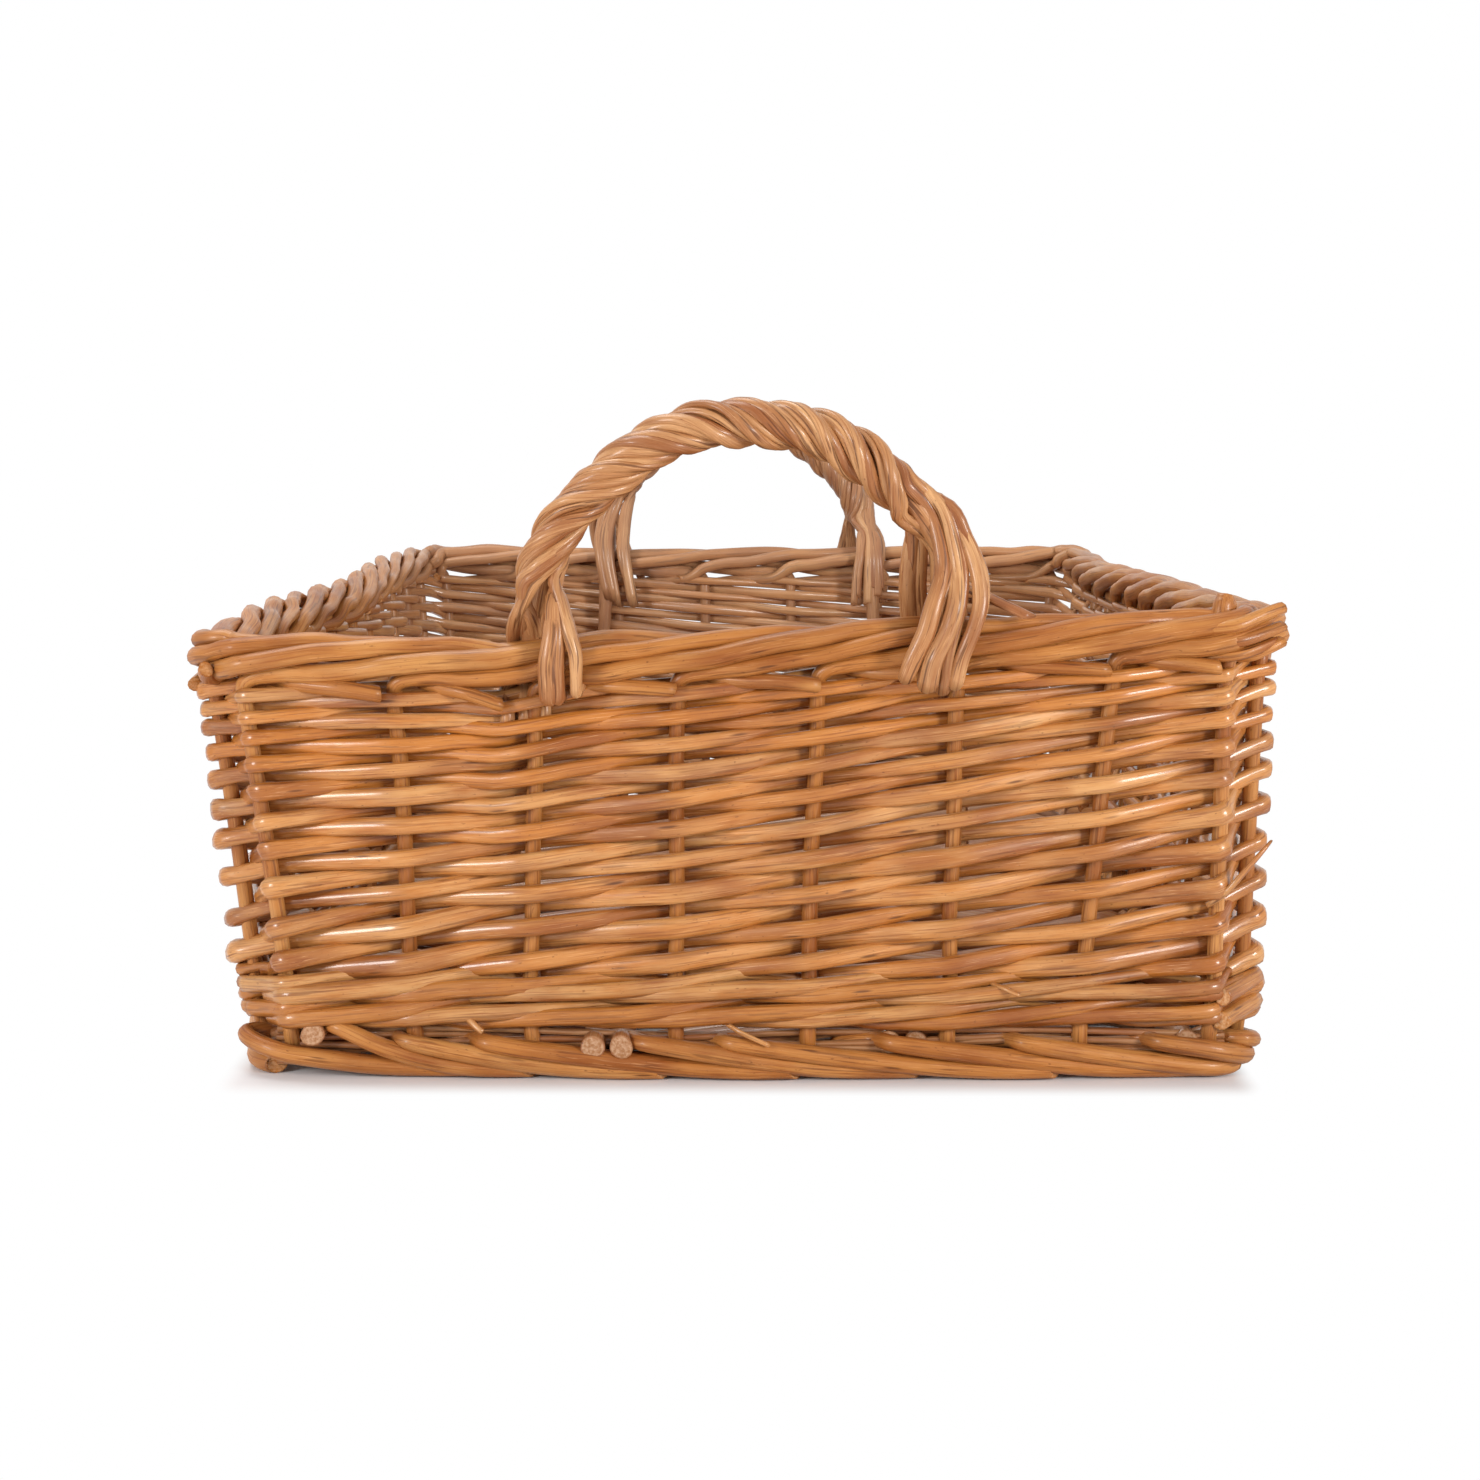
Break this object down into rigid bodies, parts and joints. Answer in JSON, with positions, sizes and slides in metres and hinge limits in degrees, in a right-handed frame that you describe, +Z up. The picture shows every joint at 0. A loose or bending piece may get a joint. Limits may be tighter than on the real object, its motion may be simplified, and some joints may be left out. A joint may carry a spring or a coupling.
{
  "type": "wicker display basket",
  "caption": "Open rectangular wicker display basket of varnished willow, with a rolled border, a laced foot and a roped arch handle at each short end.",
  "frame": {"origin": "middle of the footprint, on the surface that the basket stands on", "axes": "+Z up; +Y along the basket's length, away from the end that faces the camera; +X to the right seen from that end"},
  "size_m": [0.3994, 0.6134, 0.2467],
  "materials": {
    "willow_stake": "satin varnish",
    "willow_weaver": "satin varnish",
    "willow_handle": "satin varnish",
    "willow_base": "satin varnish"
  },
  "bodies": {
    "root": {"stake_front_1": "willow_stake", "stake_front_2": "willow_stake", "stake_front_3": "willow_stake", "stake_front_4": "willow_stake", "stake_front_5": "willow_stake", "stake_front_6": "willow_stake", "stake_front_7": "willow_stake", "stake_front_8": "willow_stake", "stake_right_1": "willow_stake", "stake_right_2": "willow_stake", "stake_right_3": "willow_stake", "stake_right_4": "willow_stake", "stake_right_5": "willow_stake", "stake_right_6": "willow_stake", "stake_right_7": "willow_stake", "stake_right_8": "willow_stake", "stake_right_9": "willow_stake", "stake_right_10": "willow_stake", "stake_right_11": "willow_stake", "stake_right_12": "willow_stake", "stake_back_1": "willow_stake", "stake_back_2": "willow_stake", "stake_back_3": "willow_stake", "stake_back_4": "willow_stake", "stake_back_5": "willow_stake", "stake_back_6": "willow_stake", "stake_back_7": "willow_stake", "stake_back_8": "willow_stake", "stake_left_1": "willow_stake", "stake_left_2": "willow_stake", "stake_left_3": "willow_stake", "stake_left_4": "willow_stake", "stake_left_5": "willow_stake", "stake_left_6": "willow_stake", "stake_left_7": "willow_stake", "stake_left_8": "willow_stake", "stake_left_9": "willow_stake", "stake_left_10": "willow_stake", "stake_left_11": "willow_stake", "stake_left_12": "willow_stake", "upsett_rod_1": "willow_weaver", "upsett_rod_2": "willow_weaver", "upsett_rod_3": "willow_weaver", "weaver_leading": "willow_weaver", "weaver_chasing": "willow_weaver", "base_weave": "willow_base", "base_stick_1": "willow_base", "base_stick_2": "willow_base", "base_stick_3": "willow_base", "base_stick_4": "willow_base", "base_stick_5": "willow_base", "base_stick_6": "willow_base", "handle_bow_front": "willow_handle", "handle_rope_outer_front": "willow_handle", "handle_rope_inner_front": "willow_handle", "handle_bow_back": "willow_handle", "handle_rope_outer_back": "willow_handle", "handle_rope_inner_back": "willow_handle"}
  },
  "joints": []
}
